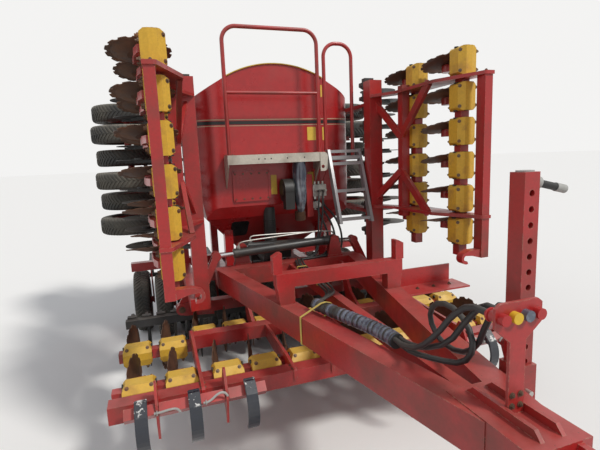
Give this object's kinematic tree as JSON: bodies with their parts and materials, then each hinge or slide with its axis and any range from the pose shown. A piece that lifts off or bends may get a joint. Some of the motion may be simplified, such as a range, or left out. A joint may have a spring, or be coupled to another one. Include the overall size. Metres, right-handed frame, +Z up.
{
  "type": "folded seed drill",
  "caption": "Towed pneumatic seed drill with its wings folded up: disc rows, seed coulters, staggered press wheels, hopper, drawbar and jack.",
  "frame": {"origin": "on the ground, midway along and across the whole drill with its wings folded", "axes": "+X to the machine's left side, +Y to its rear, +Z up; the drawbar points along -Y"},
  "size_m": [3.46, 5.985, 3.167],
  "materials": {
    "red_paint": "faded gloss",
    "tank_red": "gloss",
    "yellow_paint": "worn, dusty",
    "worn_steel": "rusty brown",
    "dark_steel": "satin black",
    "worn_blade": "black with bright worn spots",
    "galvanised": "dull zinc",
    "zinc_steel": "plated",
    "ladder_aluminium": "mill finish",
    "tarpaulin": "coated cloth",
    "black_film": "shiny thin sheet",
    "black_plastic": "matt",
    "hose_rubber": "matt",
    "tyre_rubber": "dusty",
    "ram_black": "satin",
    "ram_chrome": "polished"
  },
  "bodies": {
    "root": {"main_frame": "red_paint", "mid_carrier": "red_paint", "drawbar": "red_paint", "rest_frame": "red_paint", "row_bars": "red_paint", "clamps_mid": "yellow_paint", "arms_mid": "red_paint", "discs_mid": "worn_steel", "coulters_mid": "dark_steel", "harrow_mid": "dark_steel", "hopper": "tank_red", "hopper_cover": "tarpaulin", "platform": "galvanised", "ladder": "ladder_aluminium", "handrails": "red_paint", "fan_cover": "black_film", "valve_block": "zinc_steel", "air_system": "black_plastic", "hoses": "hose_rubber", "hose_1": "hose_rubber", "hose_2": "hose_rubber", "hose_3": "hose_rubber", "ram_base_l": "red_paint", "ram_base_r": "red_paint"},
    "jack": {"jack_leg": "red_paint"},
    "paddle_unit_l": {"paddle_tube_l": "red_paint", "paddles_l": "worn_blade"},
    "paddle_unit_r": {"paddle_tube_r": "red_paint", "paddles_r": "worn_blade"},
    "wing_l": {"wing_frame_l": "red_paint", "wing_carrier_l": "red_paint", "wing_clamps_l": "yellow_paint", "wing_arms_l": "red_paint", "wing_discs_l": "worn_steel", "wing_coulters_l": "dark_steel", "wing_harrow_l": "dark_steel"},
    "wing_r": {"wing_frame_r": "red_paint", "wing_carrier_r": "red_paint", "wing_clamps_r": "yellow_paint", "wing_arms_r": "red_paint", "wing_discs_r": "worn_steel", "wing_coulters_r": "dark_steel", "wing_harrow_r": "dark_steel"},
    "wheels_1_mid": {"tyres_1_mid": "tyre_rubber", "hubs_1_mid": "red_paint"},
    "wheels_2_mid": {"tyres_2_mid": "tyre_rubber", "hubs_2_mid": "red_paint"},
    "wheels_1_l": {"tyres_1_l": "tyre_rubber", "hubs_1_l": "red_paint"},
    "wheels_2_l": {"tyres_2_l": "tyre_rubber", "hubs_2_l": "red_paint"},
    "wheels_1_r": {"tyres_1_r": "tyre_rubber", "hubs_1_r": "red_paint"},
    "wheels_2_r": {"tyres_2_r": "tyre_rubber", "hubs_2_r": "red_paint"},
    "barrel_l": {"ram_barrel_l": "ram_black"},
    "rod_l": {"ram_rod_l": "ram_chrome"},
    "barrel_r": {"ram_barrel_r": "ram_black"},
    "rod_r": {"ram_rod_r": "ram_chrome"}
  },
  "joints": [
    {"name": "jack_lift", "type": "slide", "parent": "root", "child": "jack", "axis": [0, 0, 1], "range_m": [0, 0.8]},
    {"name": "wing_fold_l", "type": "hinge", "parent": "root", "child": "wing_l", "pos_m": [-0.98, 0.5975, 0.75], "axis": [0, -1, 0], "range_deg": [0, 90]},
    {"name": "paddle_tilt_l", "type": "hinge", "parent": "root", "child": "paddle_unit_l", "pos_m": [-1, -1.3975, 0.72], "axis": [1, 0, 0], "range_deg": [-25, 25]},
    {"name": "wing_fold_r", "type": "hinge", "parent": "root", "child": "wing_r", "pos_m": [0.98, 0.5975, 0.75], "axis": [0, 1, 0], "range_deg": [0, 90]},
    {"name": "paddle_tilt_r", "type": "hinge", "parent": "root", "child": "paddle_unit_r", "pos_m": [1, -1.3975, 0.72], "axis": [1, 0, 0], "range_deg": [-25, 25]},
    {"name": "wheels_1_mid_turn", "type": "hinge", "parent": "root", "child": "wheels_1_mid", "pos_m": [0, 1.5525, 0.37], "axis": [1, 0, 0], "continuous": true},
    {"name": "wheels_1_l_turn", "type": "hinge", "parent": "wing_l", "child": "wheels_1_l", "pos_m": [-1.36, 1.5525, 2], "axis": [0, 0, 1], "continuous": true},
    {"name": "wheels_1_r_turn", "type": "hinge", "parent": "wing_r", "child": "wheels_1_r", "pos_m": [1.36, 1.5525, 2], "axis": [0, 0, 1], "continuous": true},
    {"name": "wheels_2_mid_turn", "type": "hinge", "parent": "root", "child": "wheels_2_mid", "pos_m": [0, 1.8325, 0.37], "axis": [1, 0, 0], "continuous": true},
    {"name": "wheels_2_l_turn", "type": "hinge", "parent": "wing_l", "child": "wheels_2_l", "pos_m": [-1.36, 1.8325, 2], "axis": [0, 0, 1], "continuous": true},
    {"name": "wheels_2_r_turn", "type": "hinge", "parent": "wing_r", "child": "wheels_2_r", "pos_m": [1.36, 1.8325, 2], "axis": [0, 0, 1], "continuous": true},
    {"name": "ram_swing_l", "type": "hinge", "parent": "root", "child": "barrel_l", "pos_m": [0.43, -0.0805, 1.29], "axis": [0, -1, 0], "range_deg": [0, 4.8]},
    {"name": "ram_extend_l", "type": "slide", "parent": "barrel_l", "child": "rod_l", "axis": [-0.9993, 0, -0.0363], "range_m": [0, 0.8236]},
    {"name": "ram_swing_r", "type": "hinge", "parent": "root", "child": "barrel_r", "pos_m": [-0.43, 0.0055, 1.29], "axis": [0, 1, 0], "range_deg": [0, 4.8]},
    {"name": "ram_extend_r", "type": "slide", "parent": "barrel_r", "child": "rod_r", "axis": [0.9993, 0, -0.0363], "range_m": [0, 0.8236]}
  ],
  "couplings": [
    {"joint": "ram_swing_l", "follows": "wing_fold_l", "ratio": 0.053154},
    {"joint": "ram_extend_l", "follows": "wing_fold_l", "m_per_rad": 0.52398},
    {"joint": "ram_swing_r", "follows": "wing_fold_r", "ratio": 0.053154},
    {"joint": "ram_extend_r", "follows": "wing_fold_r", "m_per_rad": 0.52398}
  ]
}
